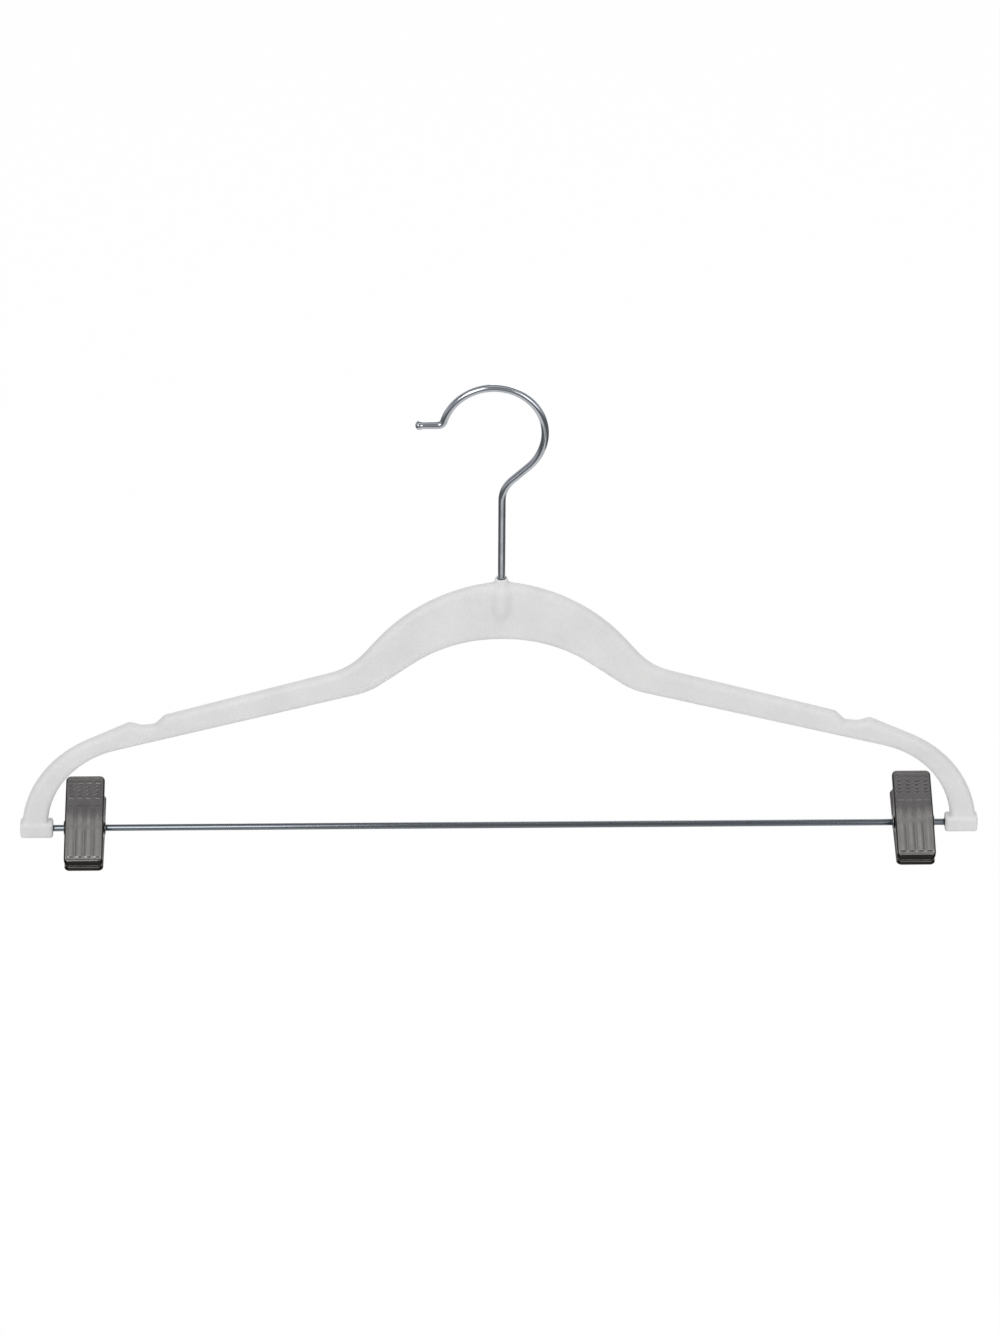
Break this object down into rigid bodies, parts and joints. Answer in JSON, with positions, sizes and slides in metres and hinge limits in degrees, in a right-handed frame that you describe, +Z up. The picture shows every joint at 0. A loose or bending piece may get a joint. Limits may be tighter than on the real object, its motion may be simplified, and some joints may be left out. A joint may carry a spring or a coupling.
{
  "type": "suit hanger",
  "caption": "Slim flocked suit hanger with a swivelling wire hook, shoulder notches, a trouser bar and two sprung clips that slide and turn on the bar.",
  "frame": {"origin": "the rail seat: top of the inside of the hook's loop, in the middle of the hanger", "axes": "+X along the trouser bar to the viewer's right, +Y from the front of the hanger to the back, +Z up"},
  "size_m": [0.4458, 0.0471, 0.2428],
  "materials": {
    "flocked_white": "short flocked fibres on ABS",
    "hook_chrome": "polished",
    "plated_steel": "bright plated",
    "stamped_steel": "nickel plated pressing",
    "clear_vinyl": "soft, milky"
  },
  "bodies": {
    "hook": {"swivel_hook": "hook_chrome"},
    "hanger": {"hanger_body": "flocked_white", "trouser_bar": "plated_steel"},
    "left_slider": {"left_pivot_tube": "plated_steel"},
    "left_rear_jaw": {"left_rear_leaf": "stamped_steel", "left_rear_pad": "clear_vinyl", "left_torsion_spring": "plated_steel"},
    "left_front_jaw": {"left_front_leaf": "stamped_steel", "left_front_pad": "clear_vinyl"},
    "right_slider": {"right_pivot_tube": "plated_steel"},
    "right_rear_jaw": {"right_rear_leaf": "stamped_steel", "right_rear_pad": "clear_vinyl", "right_torsion_spring": "plated_steel"},
    "right_front_jaw": {"right_front_leaf": "stamped_steel", "right_front_pad": "clear_vinyl"}
  },
  "joints": [
    {"name": "hanger_swivel", "type": "hinge", "parent": "hook", "child": "hanger", "pos_m": [0, 0, -0.1], "axis": [0, 0, 1], "continuous": true},
    {"name": "left_clip_slide", "type": "slide", "parent": "hanger", "child": "left_slider", "axis": [1, 0, 0], "range_m": [0, 0.183]},
    {"name": "left_clip_turn", "type": "hinge", "parent": "left_slider", "child": "left_rear_jaw", "pos_m": [-0.193, 0, -0.2281], "axis": [1, 0, 0], "continuous": true},
    {"name": "left_jaw_open", "type": "hinge", "parent": "left_rear_jaw", "child": "left_front_jaw", "pos_m": [-0.193, 0, -0.2281], "axis": [-1, 0, 0], "range_deg": [0, 28], "stiffness_Nm_per_rad": 0.03, "springref_deg": -28.65, "deforming": ["left_torsion_spring"]},
    {"name": "right_clip_slide", "type": "slide", "parent": "hanger", "child": "right_slider", "axis": [-1, 0, 0], "range_m": [0, 0.183]},
    {"name": "right_clip_turn", "type": "hinge", "parent": "right_slider", "child": "right_rear_jaw", "pos_m": [0.193, 0, -0.2281], "axis": [1, 0, 0], "continuous": true},
    {"name": "right_jaw_open", "type": "hinge", "parent": "right_rear_jaw", "child": "right_front_jaw", "pos_m": [0.193, 0, -0.2281], "axis": [-1, 0, 0], "range_deg": [0, 28], "stiffness_Nm_per_rad": 0.03, "springref_deg": -28.65, "deforming": ["right_torsion_spring"]}
  ]
}
